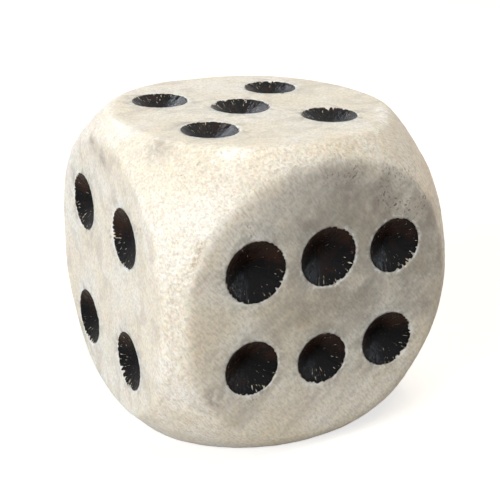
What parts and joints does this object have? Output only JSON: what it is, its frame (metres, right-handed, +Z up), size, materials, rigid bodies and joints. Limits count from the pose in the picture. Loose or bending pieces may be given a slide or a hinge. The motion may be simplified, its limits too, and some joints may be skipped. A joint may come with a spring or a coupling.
{
  "type": "gaming die",
  "caption": "Hand-drilled bone die with rounded corners, flat faces and blackened conical pips, for throwing in games.",
  "frame": {"origin": "the middle of the face that the die stands on, which carries the two", "axes": "+Z up through the five, -Y through the six, -X through the four, +X through the three, +Y through the one"},
  "size_m": [0.016, 0.016, 0.016],
  "materials": {
    "bone": "satin, filed and worn bone",
    "pigment": "gloss, brushed into the drilled pips"
  },
  "bodies": {
    "root": {"die_body": "bone", "pip_one_centre": "pigment", "pip_two_front_left": "pigment", "pip_two_back_right": "pigment", "pip_three_lower_front": "pigment", "pip_three_middle": "pigment", "pip_three_upper_back": "pigment", "pip_four_upper_back": "pigment", "pip_four_upper_front": "pigment", "pip_four_lower_back": "pigment", "pip_four_lower_front": "pigment", "pip_five_back_left": "pigment", "pip_five_back_right": "pigment", "pip_five_centre": "pigment", "pip_five_front_left": "pigment", "pip_five_front_right": "pigment", "pip_six_upper_left": "pigment", "pip_six_upper_middle": "pigment", "pip_six_upper_right": "pigment", "pip_six_lower_left": "pigment", "pip_six_lower_middle": "pigment", "pip_six_lower_right": "pigment"}
  },
  "joints": []
}
